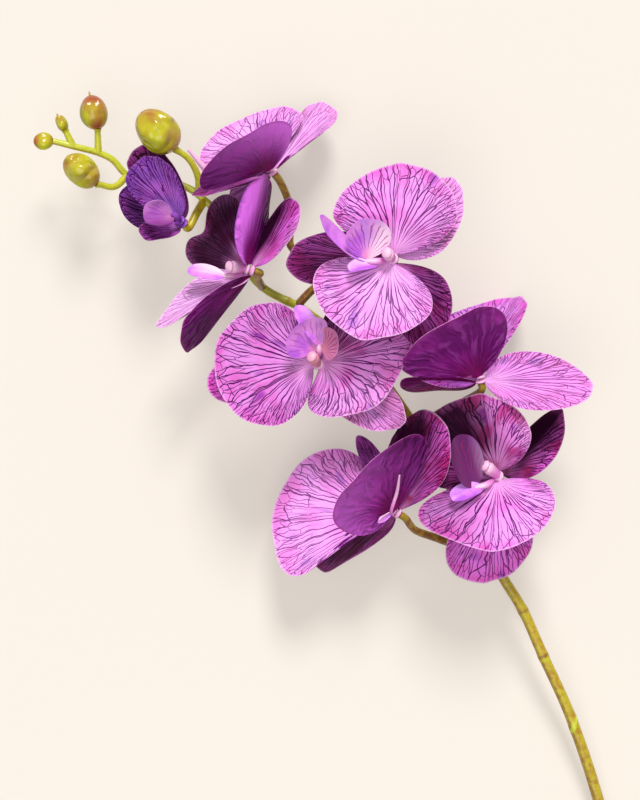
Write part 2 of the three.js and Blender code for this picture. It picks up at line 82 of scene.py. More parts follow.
def side(half, widest=0.5, tip=1.0, foot=1.3, ear=0.0):
    """One side of a blade's outline: its width, the share of the length where it is widest, the
    powers that narrow it towards the tip and the foot, and the share that it reaches back."""
    return half, widest, tip, foot, ear


def blade(kind, tip, face, right, left, bend, cup, notch=0.0, tone=(0, 0, 0), ruffle=0.5, **more):
    """A petal, a sepal or a lobe, with its tip measured from the bloom's centre.

    Bend is in degrees along the blade, and cup in degrees from its middle to its edge. Cup may be
    a pair, for the right and the left side. Tone has three numbers, or two sets of them for the
    left and the right side. In front they are how much painted shade it has, or how much painted
    light if less than 0, how crimson, which is partly painted shade, and how violet. Behind, the
    first is painted shade, the second crimson that is partly painted shade, and the third how much
    painted light it has. On a lobe they are how much painted shade, how white, or how salmon if
    less than 0, and how striped.
    """
    form = dict(kind=kind, tip=tip, face=face, right=right, left=left, bend=bend, cup=cup)
    return dict(form, notch=notch, tone=tone, ruffle=ruffle, **more)


def petal(tip, face, right, left, bend=20, cup=-10, **more):
    return blade("petal", tip, face, right, left, bend, cup, **more)


def sepal(tip, face, right, left, bend=18, cup=12, **more):
    return blade("sepal", tip, face, right, left, bend, cup, **more)


def lobe(root, tip, face, half, bend=10, cup=40, tone=(0, 0.9, 1)):
    edge = side(half, 0.55, 0.9, 1.2)
    return blade("lobe", tip, face, edge, edge, bend, cup, root=root, ruffle=0.3, tone=tone)


# Where each bloom stands, the way it faces and its parts. The column, the claw and the throat's
# points are measured from its centre, and the pedicel's points are where its stalk runs. Salmon
# and olive are the tints of its column and its stalk; the stalk's olive brown is partly painted
# shade.
BLOOMS = [
    dict(
        name="bloom_1",
        centre=(83, -35.5, 40),
        face=(-0.1, 0.2, 1),
        petals=[
            petal((-9, 38.5, 5), (-0.1, -0.2, 1), side(19.5, 0.42, 1.6, 1), side(28, 0.6, 0.7, 1.5),
                  tone=[(1.9, 0.9, 0), (-0.4, 0.65, 0)]),
            petal((-5.5, -34, 18), (0, 0.5, 1), side(35, 0.6, 1.4, 1.8), side(28, 0.25, 1.4, 0.8, 0.15),
                  tone=[(-0.2, 0, 0), (0.5, 0.2, 0)]),
        ],
        sepals=[
            sepal((31.5, 31, -13), (0.2, 0.1, 1), side(14, 0.38, 1.6, 1.1), side(6),
                  cup=34, tone=[(2.3, 1.2, 0), (0.1, 0.75, 0.1)]),
            sepal((-6, -50.5, -10), (0, 0, 1), side(20, 0.7, 0.6, 1.3), side(20, 0.55, 1.4, 1.3),
                  tone=(-0.08, 0.05, 0)),
            sepal((-50, 17, -10), (-0.1, 0, 1), side(14), side(14), tone=(0.7, 0.3, 0)),
        ],
        column=(-6.4, 5, 8),
        throat=[(-6, -4, 7), (-11.5, -5, 8)],
        lobes=[
            lobe((-11, -5, 8), (-20, 19, 17), (0.5, 0, 1), 9.5,
                 bend=-30, cup=50, tone=[(1.9, 0, 0.2), (0.6, 0.7, 1)]),
            lobe((-7.5, -4.5, 7.5), (-23, -9.5, 13), (0, 0.5, 1), 4.5, tone=(0, 0.3, 0.3)),
        ],
        pedicel=[(62.5, -43, 24), (73, -42, 25)],
    ),
    dict(
        name="bloom_2",
        centre=(35.5, -52.5, 38),
        face=(-0.8, 0.5, 0.28),
        petals=[
            petal((-18.5, 19, 32), (-0.57, 0.54, -0.62), side(24, 0.5, 1, 1, 0.1), side(34, 0.42, 1.15, 1.4),
                  bend=10, cup=10, tone=[(0.8, 0.5, 0.2), (-0.6, 0.1, 0.5)]),
            petal((-58.5, -2, -16), (-0.2, 0.2, 0.95), side(31, 0.45, 1.4, 1.7), side(30, 0.785, 1.2, 6.5),
                  cup=0, tone=(-0.2, 0, 0)),
        ],
        sepals=[
            sepal((14, 48, 6), (0, 0.1, 1), side(17, 0.5, 0.9, 2), side(13, 0.5, 1.2, 2),
                  bend=6, tone=[(2.0, 1.1, 0), (0.0, 0.85, 0)]),
            sepal((-37.5, -28, -38), (-0.84, 0.35, 0.45), side(9, 0.45, 1.6), side(17.5, 0.33, 1.7, 1),
                  bend=14, cup=30, tone=[(0.6, 0.6, 0), (1.2, 0.5, 0)]),
            sepal((-18, 36, -1), (-0.2, 0.2, 0.95), side(6, 0.5, 1.2, 4), side(5, 0.6, 1.2, 4),
                  bend=-10, tone=(0.5, 0.1, 0.4)),
        ],
        column=(-7, 3.5, 4.5),
        claw=(-1.2, -1.6, 3.6),
        throat=[(-2.5, 1, 10.5), (0, 10, 14.5), (1, 18, 20)],
        lobes=[
            lobe((-2, 0.5, 9), (-9, -4, 12), (0.3, -0.3, 0.9), 1.6),
        ],
        pedicel=[(75, -69, 22), (61.5, -67.5, 24), (54.5, -65, 27), (44.5, -61, 31)],
    ),
    dict(
        name="bloom_3",
        centre=(74.5, 10, 44),
        face=(-0.2, 0.9, 0.35),
        petals=[
            petal((-19.5, 24, 32), (-0.33, 0.69, -0.64), side(26, 0.6, 0.8, 4), side(26, 0.56, 0.8),
                  bend=10, cup=10, tone=(0.12, 0.3, 0.05)),
            petal((11, 39, -44), (-0.35, 0.68, 0.62), side(18, 0.76, 0.8, 2.4), side(30, 0.5, 1.3, 2.8),
                  bend=14, cup=10, tone=[(0, 0, 0.5), (0, 0.1, 0.15)]),
        ],
        sepals=[
            sepal((52, -3.5, 6), (0, 0.15, 1), side(13.5, 0.5, 0.95), side(14.3, 0.38, 1.45, 0.9),
                  tone=(-0.3, 0, 0)),
            sepal((-37.5, -2, 2), (0, 1, -0.6), side(15, 0.5, 1, 1.1), side(4, 0.5, 1, 2),
                  tone=(0.4, 1, 0)),
            sepal((-37, 13.5, -14.5), (0, 0.6, 0.8), side(14, 0.5, 1, 2.8), side(14), tone=(0, 0, 0.4)),
        ],
        column=(-1, 8.5, 2.5),
        throat=[(-5, 4.5, 2), (-8, 5, 2.5)],
        lobes=[
            lobe((-6.5, 4.5, 2), (-18, 6.5, 4), (0, 0.8, 0.5), 4),
            lobe((-6.5, 5, 2.5), (-12, 15, 6), (0.8, 0.2, 0.4), 4.5),
        ],
        pedicel=[(45, -13.5, 24.5), (57, -6, 25), (69, 0, 32)],
    ),
    dict(
        name="bloom_4",
        centre=(-1, 16.5, 56),
        face=(0, 0.05, 1),
        salmon=0.9,
        petals=[
            petal((-47.5, -0.5, 0), (-0.1, 0.1, 1), side(29, 0.42, 1, 0.95), side(28.5, 0.45, 0.95, 0.88),
                  bend=24, tone=[(0.1, 0.1, 0), (0.36, 0.15, 0)]),
            petal((45.5, 13, -2), (0.1, 0.1, 1), side(27, 0.28, 2.4, 0.85, 0.33), side(25),
                  bend=24, tone=[(0.55, 0.6, 0), (-0.25, 0.1, 0)]),
        ],
        sepals=[
            sepal((40, -28, -10), (0.1, -0.1, 1), side(13.5, 0.45, 1.3), side(12, 0.5, 1.3),
                  tone=(-0.4, 0.2, 0)),
            sepal((-51.5, -10, -14), (-0.1, 0, 1), side(13), side(13)),
            sepal((28, 38, -18), (0, 0.1, 1), side(11), side(11), tone=(0.6, 0.2, 0)),
        ],
        column=(-2.7, 3.2, 9.5),
        throat=[(0.5, 6.5, 5), (0.5, 9, 5.5)],
        lobes=[
            lobe((-1, 6, 5), (-9.5, 17.5, 13), (0.2, 0, 1), 12,
                 bend=-30, cup=30, tone=(0.06, 0.25, 0.6)),
            lobe((2, 6, 5), (9.5, 11.5, 13), (-0.5, 0.3, 1), 8.5,
                 bend=-30, cup=40, tone=(0.25, -0.75, 1.2)),
            lobe((2, 8, 5), (-10, 26.5, 8), (0.2, 0.4, 1), 4.5, bend=20, cup=30, tone=(0, 0.4, 0)),
        ],
        pedicel=[(12, 27, 24), (8, 24, 36), (1, 18.5, 48)],
    ),
    dict(
        name="bloom_5",
        centre=(33, 64, 70),
        face=(-0.12, 0.02, 1),
        petals=[
            petal((4, 43, 6), (0, -0.1, 1), side(27.5, 0.5, 1.05), side(29, 0.4, 1.6, 1.5),
                  bend=22, cup=-14, tone=[(-0.04, 0, 0), (-0.1, 0.25, 0)]),
            petal((-14.5, -37, 8), (0, 0.3, 1), side(31, 0.42, 1.1, 1.2), side(25, 0.36, 1.75, 1.1),
                  bend=26, cup=-12, tone=(-0.2, 0, 0)),
        ],
        sepals=[
            sepal((-48.5, -0.5, -12), (-0.2, 0.1, 1), side(13), side(13),
                  tone=[(0.95, 0.5, 0), (0.7, 0.6, 0)]),
            sepal((30, 37, -12), (0.2, 0.2, 1), side(15.5, 0.4, 1.35), side(13, 0.5, 1.3),
                  tone=(-0.45, 0.1, 0)),
            sepal((19, -39.5, -14), (0.3, 0, 1), side(13), side(18, 0.47, 1.4, 2), tone=(0.65, 0.5, 0)),
        ],
        column=(-3, 2, 9.5),
        throat=[(-6, -1.5, 5), (-12, -1.5, 6)],
        lobes=[
            lobe((-11.5, -0.5, 6), (-11.5, 17, 13), (0.2, 0.1, 1), 11,
                 bend=-30, cup=25, tone=(0, 1.2, 1)),
            lobe((-12, -1.5, 6), (-33, 18.5, 14), (0.5, 0.6, 1), 4.2,
                 bend=-40, cup=30, tone=[(0, 0.4, 0), (0.25, 0, 0)]),
            lobe((-7, -2.5, 5), (-20.5, -5, 9), (0, 0.6, 1), 4, bend=10, cup=50, tone=(0, 1, 0.3)),
        ],
        pedicel=[(-10.5, 45, 25.5), (-3, 52.5, 27), (9.5, 59, 38), (22, 62.5, 56)],
    ),
    dict(
        name="bloom_6",
        centre=(-32.5, 60, 52),
        face=(-0.9, 0.25, 0.35),
        petals=[
            petal((6.5, 43, 10), (-0.9, -0.15, -0.35), side(21), side(22),
                  bend=6, cup=6, tone=[(1.1, 0.7, -0.5), (-0.8, -0.5, 2.2)]),
            petal((-27.5, 24, -28), (-0.5, 0.1, 0.85), side(23, 0.6), side(15.5, 0.65, 0.9, 1.8),
                  bend=6, cup=6, notch=0.2, tone=(0.95, 0.6, 0)),
        ],
        sepals=[
            sepal((-43.5, -26, -6), (-0.2, 0.4, 0.9), side(12, 0.35, 1.9, 3), side(8, 0.45, 1.7, 1.3),
                  bend=10, cup=(0, 120), tone=(-0.75, 0.05, 0.08)),
            sepal((20, 33.5, -6), (-0.75, -0.3, 0.6), side(13), side(9),
                  bend=-20, tone=[(1.7, 0.8, 0), (-0.6, 0.2, 0)]),
            sepal((-30, -36, 10), (-0.55, 0.6, -0.45), side(12, 0.76, 0.6, 1.6), side(12, 0.76, 0.6, 1.6),
                  tone=(0.4, 0.3, 0)),
        ],
        column=(-9, 1, 7),
        throat=[(-6, -3, 1.5), (-12, -3, 2.5)],
        lobes=[
            lobe((-11, -3, 2.5), (-28.5, 0, 2), (0, 0.5, 1), 4, cup=30, tone=(0, 1, 0.1)),
        ],
        pedicel=[(-27.5, 53.5, 26), (-28, 54.5, 36), (-29, 57.5, 46)],
    ),
    dict(
        name="bloom_7",
        centre=(-22.5, 107, 40),
        face=(-0.55, 0.65, 0.35),
        petals=[
            petal((-17.5, 8.5, 35), (-0.46, 0.79, -0.40), side(27.5, 0.48, 1, 4), side(23, 0.46),
                  bend=10, cup=10, tone=[(-0.1, 0, 0.95), (0.35, 0.5, 0.15)]),
            petal((-18.5, 26, -26), (-0.25, 0.6, 0.75), side(28, 0.5, 1, 3), side(27),
                  cup=0, tone=(-0.25, 0, 0)),
        ],
        sepals=[
            sepal((25.5, 35, -28), (-0.3, -0.1, 0.95), side(10, 0.78, 0.8, 6), side(6.7, 0.75, 0.8),
                  tone=(-0.5, 0.1, 0)),
            sepal((-37.5, -11, -6), (-0.3, 0.75, 0.5), side(9), side(8), tone=(0.6, 0.2, 0)),
            sepal((-23, -13.5, -40), (-0.4, 0.3, 0.85), side(13), side(13),
                  bend=10, tone=(0.35, 0, 0.5)),
        ],
        column=(-6.5, 5.5, 2),
        throat=[(-6, 1, 0), (-16, -0.5, 0.5), (-27, -2, 2.5), (-38.5, 9, 8)],
        lobes=[
            lobe((-8, 1, 0), (-14, 9, 3), (-0.3, -0.6, 0.6), 3.5),
        ],
        pedicel=[
            (9.5, 30, 25),
            (6, 48, 25),
            (-1, 62, 26),
            (-9, 68.5, 27),
            (-14, 73, 27),
            (-13.5, 84, 28),
            (-15, 94, 31),
        ],
    ),
    dict(
        name="bloom_8",
        centre=(-65, 83.5, 34),
        face=(-0.5, 0.5, 0.7),
        flesh="young",
        olive_and_shade=0,
        petals=[
            petal((-19.4, 27.9, 11.5), (0, 0, 1), side(11, 0.62, 0.8, 1), side(12.5, 0.72, 0.8, 1.4),
                  bend=-20, cup=34, tone=[(0.25, 0, 1), (0.2, 0, 0.85)]),
        ],
        sepals=[
            sepal((-20.4, 35.9, -5), (0, 0, 1), side(11.5, 0.58, 0.8, 1), side(13, 0.7, 0.8, 1.2),
                  bend=-30, cup=60, tone=(0.85, 0.1, 0)),
            sepal((-28.1, 13.6, 5), (0.4, -0.2, 0.9), side(11, 0.6, 0.9, 1), side(12.5, 0.5, 1, 1.2),
                  bend=-30, cup=50, tone=[(0.9, 0, 0.8), (0.3, 0, 0.9)]),
            sepal((-18.5, -7, 12), (0.1, 0.6, 0.8), side(8), side(6.5),
                  bend=-20, cup=40, tone=(0.35, 0.2, 0.5)),
        ],
        throat=[(-2, 2, 6.5), (-4, 3, 8.5)],
        lobes=[
            lobe((-3, 2.5, 7.5), (-17, 1.5, 14), (0, 0.3, 1), 8.5,
                 bend=-20, cup=75, tone=[(0.9, 0, 0.8), (0.2, 0.3, 0.8)]),
        ],
        pedicel=[(-55, 94.5, 23.5), (-58, 89, 26)],
    ),
]


def bud(name, foot, end, width, blush, spike=0.0, pedicel=()):
    """A bud from its foot to its end. Blush is how brown it turns towards them, and spike how far
    a small tip stands out."""
    form = dict(name=name, foot=foot, end=end, width=width)
    return dict(form, blush=blush, spike=spike, pedicel=pedicel)


BUDS = [
    bud("bud_1", (-125.5, 121.5, 34), (-134.5, 121.5, 34), width=8.3, blush=1.1),
    bud("bud_2", (-119.5, 126.5, 34.5), (-123, 133.5, 35), width=5.5, blush=0.8, spike=0.9,
        pedicel=[(-116, 119, 33)]),
    bud("bud_3", (-104.5, 127.5, 33), (-108, 143, 34), width=13, blush=1.6, spike=1.8,
        pedicel=[(-104.5, 116.5, 30)]),
    bud("bud_4", (-105, 101.5, 34), (-119, 113.5, 38), width=14.5, blush=0.9,
        pedicel=[(-91, 106.5, 25), (-97, 100.5, 30)]),
    bud("bud_5", (-68, 117.5, 38), (-83.5, 133, 46), width=19, blush=0.75,
        pedicel=[(-57.5, 97, 23.5), (-57.5, 105, 29), (-61.5, 113, 34)]),
]

# Points along the middle of the stem, from its cut end to the last bud.
STEM = [
    (150, -271, 2.7),
    (149, -258.5, 2.8),
    (141, -222, 4),
    (134, -192.5, 7),
    (119.8, -151, 12),
    (106.5, -122, 16),
    (96.5, -100, 19),
    (87, -84.5, 21),
    (73.5, -61.5, 23),
    (62.5, -42.5, 24),
    (52, -23.5, 25),
    (38.5, -2.5, 25),
    (31, 8, 25),
    (21.5, 19, 25),
    (9.5, 30, 25),
    (-2.5, 39, 25),
    (-10.5, 44.5, 25),
    (-18, 48, 25.5),
    (-24.5, 51.5, 26),
    (-30.5, 56.5, 26),
    (-35, 64, 26.5),
    (-38, 72, 25.5),
    (-41.5, 80.5, 24),
    (-46.5, 87, 23.5),
    (-54.5, 94.5, 23.5),
    (-61.5, 100, 23.5),
    (-73.5, 104, 23),
    (-91, 106.5, 25),
    (-98, 113.5, 28),
    (-104.5, 116.5, 30),
    (-115, 119, 33),
    (-125.3, 121.5, 34),
]
STEM_RADII = (2.9, 2.35, 1.5)  # at its cut end, at its waist and at its tip

# Shares of the stem's length, from its cut end.
STEM_WAIST = 0.45
SCAR = 0.235
LOWER_COLLAR = 0.305
UPPER_COLLAR = 0.353
SWELLINGS = [0.46, 0.60, 0.72, 0.83]
SCAR_SLANT = -0.006
SWELLING_WIDTH = 0.004
SWELLING_HEIGHT = 0.25


# Colours, as linear red, green and blue

# Painted shade on the fronts of blades, and on their veins.
SHADE = (0.022, 0.0, 0.013)
SHADED_VEIN = (0.012, 0.0, 0.01)
# Painted light that pales a blade's front.
PAINTED_LIGHT_PINK = (0.97, 0.60, 0.97)
# Crimson, partly the blades' own colour and partly painted shade.
CRIMSON_AND_SHADE = (0.42, 0.008, 0.10)
VIOLET = (0.27, 0.08, 0.56)
VIOLET_STREAK = (0.30, 0.035, 0.50)
# A pale rim, partly the blades' own edge and partly a painted rim highlight.
PALE_EDGE_AND_HIGHLIGHT = (0.92, 0.55, 0.88)

# Painted shade on the backs of blades.
BACK_SHADE = (0.045, 0.002, 0.05)
# A painted highlight on the crests of the ridges.
BACK_CREST_HIGHLIGHT = (0.44, 0.07, 0.46)
# Crimson on the backs, partly their own colour and partly painted shade.
BACK_CRIMSON_AND_SHADE = (0.30, 0.004, 0.12)
# Painted light on the backs of blades.
BACK_LIT = (0.90, 0.20, 1.0)
BACK_EDGE = (0.36, 0.03, 0.26)

# Painted shade on the lip.
LIP_SHADE = (0.13, 0.012, 0.12)
LIP_LILAC = (0.50, 0.12, 0.74)
LIP_PINK = (0.78, 0.26, 0.80)
LIP_WHITE = (0.92, 0.62, 0.84)
LIP_ROSE = (0.86, 0.30, 0.42)
LIP_SALMON = (0.80, 0.30, 0.34)
LIP_STRIPE = (0.34, 0.008, 0.14)

FRESH_GREEN = (0.52, 0.60, 0.03)
FLOOR_GLOW = (0.432, 0.396, 0.36)
FLOOR_COLOURS = ((0.405, 0.373, 0.337), (0.415, 0.382, 0.342))
STUDIO_WHITE = (1.0, 0.985, 0.97, 1)


# Shader nodes


class Varying:
    """A value that changes over a surface. Arithmetic on it adds Math nodes."""

    def __init__(self, finish, socket):
        self.finish = finish
        self.socket = socket

    def maths(self, operation, *values):
        return self.finish.add("ShaderNodeMath", {"operation": operation}, dict(enumerate(values)))

    def __add__(self, other):
        return self.maths("ADD", self, other)

    def __radd__(self, other):
        return self.maths("ADD", other, self)

    def __sub__(self, other):
        return self.maths("SUBTRACT", self, other)

    def __rsub__(self, other):
        return self.maths("SUBTRACT", other, self)

    def __mul__(self, other):
        return self.maths("MULTIPLY", self, other)

    def __rmul__(self, other):
        return self.maths("MULTIPLY", other, self)

    def __truediv__(self, other):
        return self.maths("DIVIDE", self, other)

    def __rtruediv__(self, other):
        return self.maths("DIVIDE", other, self)

    def __pow__(self, other):
        return self.maths("POWER", self, other)

    def __rpow__(self, other):
        return self.maths("POWER", other, self)

    def __abs__(self):
        return self.maths("ABSOLUTE", self)

    def least(self, other):
        return self.maths("MINIMUM", self, other)

    def most(self, other):
        return self.maths("MAXIMUM", self, other)

    def from_whole(self):
        """How far it is from the nearest whole number, 0 to 0.5."""
        return self.maths("PINGPONG", self, 0.5)

    def step(self, low, high):
        """0 at low and 1 at high, smooth between them."""
        settings = {"interpolation_type": "SMOOTHSTEP", "clamp": True}
        return self.finish.add("ShaderNodeMapRange", settings, {0: self, 1: low, 2: high})

    def output(self, name):
        """Another output of the node that this comes from."""
        return Varying(self.finish, self.socket.node.outputs[name])

    def parts(self):
        split = self.finish.add("ShaderNodeSeparateXYZ", {}, {0: self})
        return [split.output(name) for name in "XYZ"]


class Finish:
    """A procedural material and the nodes that make it."""

    def __init__(self, name, **constants):
        self.material = bpy.data.materials.new(name)
        self.material.use_nodes = True
        self.shader = self.material.node_tree.nodes["Principled BSDF"]
        for key, value in constants.items():
            self.feed(self.shader.inputs[key.replace("_", " ")], value)

    def feed(self, socket, value):
        if isinstance(value, Varying):
            self.material.node_tree.links.new(value.socket, socket)
        elif socket.type == "RGBA":
            socket.default_value = (*value, 1)
        else:
            socket.default_value = value

    def add(self, kind, settings, sockets, output=0):
        """A new node with its settings and the values or links of its sockets."""
        node = self.material.node_tree.nodes.new(kind)
        for key, value in settings.items():
            setattr(node, key, value)
        for key, value in sockets.items():
            self.feed(node.inputs[key], value)
        return Varying(self, node.outputs[output])

    def stored(self, name):
        """A value that the mesh keeps at each point."""
        return self.add("ShaderNodeAttribute", {"attribute_name": name}, {}, "Vector")

    def point(self, x, y, z=0.0):
        return self.add("ShaderNodeCombineXYZ", {}, {0: x, 1: y, 2: z})

    def difference(self, a, b):
        return self.add("ShaderNodeVectorMath", {"operation": "SUBTRACT"}, {0: a, 1: b})

    def mix(self, share, under, over):
        """Share of the colour over, and the rest of the colour under."""
        return self.add("ShaderNodeMix", {"data_type": "RGBA"}, {0: share, 6: under, 7: over}, 2)

    def noise(self, place, scale, detail=2.0, roughness=0.5):
        sockets = {"Vector": place, "Scale": scale, "Detail": detail, "Roughness": roughness}
        return self.add("ShaderNodeTexNoise", {}, sockets)

    def cell(self, place, feature, randomness):
        """The point in the middle of a cell: the nearest for F1, and the second nearest for F2."""
        settings = {"voronoi_dimensions": "2D", "feature": feature}
        sockets = {"Vector": place, "Scale": 1.0, "Randomness": randomness}
        return self.add("ShaderNodeTexVoronoi", settings, sockets, "Position")

    def net(self, across, along, mm_across, mm_along, randomness):
        """Distance in millimetres to the nearest line of a net of long cells."""
        place = self.point(across, along)
        near = self.cell(place, "F1", randomness)
        second = self.cell(place, "F2", randomness)
        dx, dy, _ = self.difference(second, near).parts()
        closeness = (second.output("Distance") ** 2 - near.output("Distance") ** 2) / 2
        slope = ((dx / mm_across) ** 2 + (dy / mm_along) ** 2) ** 0.5
        return closeness / slope

    def done(self, colour, roughness=None, height=None, relief=0.3, distance=0.0004):
        """Feeds the shader and returns the material. Distance is in metres."""
        self.feed(self.shader.inputs["Base Color"], colour)
        if roughness is not None:
            self.feed(self.shader.inputs["Roughness"], roughness)
        if height is not None:
            sockets = {"Strength": relief, "Distance": distance, "Height": height}
            self.feed(self.shader.inputs["Normal"], self.add("ShaderNodeBump", {}, sockets))
        return self.material


# Finishes

VEIN_COUNT = 10.5  # cells of the net from the middle of a blade to its back
VEIN_CROWDING = 13.0  # more of them towards the sides
FINE_ACROSS = 2.2  # how much smaller the cells of the fine net are
FINE_ALONG = 1.6
RIB_SPACING = 0.4  # main veins for one cell of the net
VEIN_RELIEF = -0.9
PETAL_ROUGHNESS = 0.5
BACK_ROUGHNESS = 0.4
LIP_ROUGHNESS = 0.4
FLESH_ROUGHNESS = 0.35


def veined(name, ground, pale, flush, line, line_width):
    """A petal's or a sepal's face. Veins fan out from the foot and fork into a net near the rim."""
    f = Finish(name, Specular_IOR_Level=0.25, IOR=1.2, Roughness=PETAL_ROUGHNESS)
    q, r, seed = f.stored("fan").parts()
    x, y, reach = f.stored("flat").parts()
    dark, crimson, violet = f.stored("tone").parts()
    place = f.point(x * 0.1, y * 0.1, seed)
    wander = f.noise(place, 1.4) - 0.5
    small = f.noise(place, 7.0, 3.0) - 0.5

    # The net: its places, and how many millimetres one unit of them is.
    bunched = q / (r * 0.28 + 0.72) + wander * 0.05 + small * 0.004
    size = abs(bunched)
    across = bunched * (size**1.5 * VEIN_CROWDING + VEIN_COUNT) + seed * 17.3
    along = r * 0.5 + r**5 * 0.75 + wander * 0.3 + seed * 7.9
    mm_across = reach * r.most(0.03) / (size**1.5 * (2.5 * VEIN_CROWDING) + VEIN_COUNT)
    mm_along = reach * 0.62 / (r**4 * 3.75 + 0.5)
    net = f.net(across, along, mm_across, mm_along, 0.95)
    fine_across = across * FINE_ACROSS + 3.7
    fine_along = along * FINE_ALONG + 11.0
    fine = f.net(fine_across, fine_along, mm_across / FINE_ACROSS, mm_along / FINE_ALONG, 0.85)
    rib = (across * RIB_SPACING).from_whole() * mm_across / RIB_SPACING

    # The lines: the net, fine hairs near the rim, main veins in the middle, and the first few
    # veins close to the foot.
    thick = line_width * (0.18 + r.step(0.0, 0.45) * 0.87 - r * 0.3)
    thick = thick + (f.noise(place, 2.6) - 0.5) * 0.17
    vein = 1 - (net / thick.most(0.08)).step(0.65, 1.25)
    hair = (1 - (fine / (thick * 0.75).most(0.06)).step(0.5, 1.4)) * r.step(0.55, 0.75)
    main = (1 - (rib / thick.most(0.1)).step(0.6, 1.4)) * (1 - abs(q).step(0.2, 0.4))
    lines = vein.most(hair * 0.9).most(main)
    first = 1 - (rib / (thick * 0.8).most(0.1)).step(0.6, 1.4)
    first = first * r.step(0.06, 0.15) * (1 - r.step(0.3, 0.55))

    blotch = f.noise(f.point(across * 0.45, r * 2.2, seed), 1.0, 1.0)
    streak = blotch.step(0.64, 0.72) * r.step(0.25, 0.5)
    rim = r.step(0.80, 0.995)
    edge = r.step(0.975, 1.0)
    patch = f.noise(place, 0.9, 2.0).step(0.42, 0.68)
    heart = 1 - r.step(0.08, 0.45)

    colour = f.mix(patch * 0.6, ground, flush)
    colour = f.mix(heart * 0.65, colour, pale)
    colour = f.mix(rim * (0.3 + patch * 0.65), colour, flush)
    colour = f.mix(streak * 0.75, colour, VIOLET_STREAK)
    # Painted light: a tone below 0 pales the blade.
    colour = f.mix((0 - dark).most(0), colour, PAINTED_LIGHT_PINK)
    colour = f.mix(violet * (0.92 - patch * 0.25), colour, VIOLET)
    # Crimson, partly the blade's own colour and partly painted shade.
    colour = f.mix(crimson * (0.35 + patch * 0.65), colour, CRIMSON_AND_SHADE)
    # Painted shade, lighter at the heart and the rim.
    colour = f.mix(dark.least(1.1) * (1 - heart * 0.6 - rim * 0.2), colour, SHADE)
    # The veins grow fainter under painted light and darker under painted shade.
    fade = (0.02 + mm_across.step(0.45, 1.8) * 0.96) * (1 + dark.least(0) * 0.55)
    ink = f.mix(dark.step(0.1, 0.8), line, SHADED_VEIN)
    colour = f.mix((lines * fade).most(first * 0.8), colour, ink)
    # A pale rim, partly the blade's own pale edge and partly a painted rim highlight, fainter under painted
    # shade.
    colour = f.mix(edge * (0.55 - dark * 0.4 - violet * 0.45).most(0), colour, PALE_EDGE_AND_HIGHLIGHT)
    height = lines * VEIN_RELIEF + small * 0.5 + net.step(0.0, 1.6) * 0.6
    return f.done(colour, PETAL_ROUGHNESS + small * 0.2, height, 0.5)


def dark_back(name, ground, deep, foot):
    """The back of a blade: plain satin violet with broad soft ridges fanning from the foot.

    The third number of its tone is how much painted light it has, paler and smoother towards the
    rim. The first is painted shade and the second crimson that is partly painted shade. The crests
    of the ridges get a painted highlight and their valleys painted shade.
    """
    f = Finish(name, Specular_IOR_Level=0.3, IOR=1.2, Roughness=BACK_ROUGHNESS)
    q, r, seed = f.stored("fan").parts()
    x, y, _ = f.stored("flat").parts()
    dark, crimson, lit = f.stored("tone").parts()
    place = f.point(x * 0.1, y * 0.1, seed)
    wander = f.noise(place, 1.1) - 0.5
    small = f.noise(place, 9.0, 3.0) - 0.5
    bunched = q / (r * 0.28 + 0.72) + wander * 0.16
    across = bunched * 6.5 + seed * 13.1
    along = r * 1.5 + r**3 * 1.3 + wander * 0.6 + seed * 5.7
    ridges = f.noise(f.point(across * 2.4, along), 1.0, 1.0, 0.4)
    relief = (1 - lit * 0.75) * r.step(0.05, 0.3)
    # The ridges' crests get a painted highlight and their valleys painted shade, less where painted light is
    # strong.
    highlit_crest = ridges.step(0.5, 0.62) * relief
    shaded_valley = (1 - ridges.step(0.36, 0.5)) * relief
    cloud = f.noise(place, 0.8, 2.0).step(0.35, 0.7)
    colour = f.mix(cloud, deep, ground)
    colour = f.mix(shaded_valley * 0.6, colour, deep)
    colour = f.mix(highlit_crest * 0.5, colour, BACK_CREST_HIGHLIGHT)
    # Painted light, towards the rim.
    colour = f.mix(lit * r.step(0.1, 0.95), colour, BACK_LIT)
    colour = f.mix((1 - r.step(0.05, 0.5)) * 0.75, colour, foot)
    # Crimson, partly the back's own colour and partly painted shade.
    colour = f.mix(crimson * (0.4 + cloud * 0.6), colour, BACK_CRIMSON_AND_SHADE)
    # Painted shade.
    colour = f.mix(dark, colour, BACK_SHADE)
    colour = f.mix(r.step(0.95, 1.0) * 0.6, colour, BACK_EDGE)
    height = ridges * relief * 3.0 + small * 0.04
    return f.done(colour, BACK_ROUGHNESS + small * 0.2, height, 0.7, 0.0022)


def lip_face():
    """A lobe of the lip: lilac, paler to one side, with dark red stripes."""
    f = Finish("lip_striped", Specular_IOR_Level=0.4, Roughness=LIP_ROUGHNESS)
    q, r, seed = f.stored("fan").parts()
    x, y, _ = f.stored("flat").parts()
    dark, white, striped = f.stored("tone").parts()
    place = f.point(x * 0.1, y * 0.1, seed)
    wander = f.noise(place, 1.6) - 0.5
    lines = (q * 8.0 + wander * 1.2).from_whole().step(0.34, 0.46)
    lines = lines * r.step(0.15, 0.35) * (1 - r.step(0.8, 0.95)) * striped
    cloud = f.noise(place, 1.2, 2.0).step(0.35, 0.7)
    colour = f.mix(cloud, LIP_LILAC, LIP_PINK)
    colour = f.mix((q + wander * 0.5).step(-0.2, 0.6) * white, colour, LIP_WHITE)
    colour = f.mix((1 - r.step(0.0, 0.4)) * 0.7, colour, LIP_ROSE)
    colour = f.mix(0 - white, colour, LIP_SALMON)
    # Painted shade.
    colour = f.mix(dark, colour, LIP_SHADE)
    colour = f.mix(lines * 0.8, colour, LIP_STRIPE)
    return f.done(colour, LIP_ROUGHNESS + wander * 0.2, lines * -0.6 + wander, 0.3)


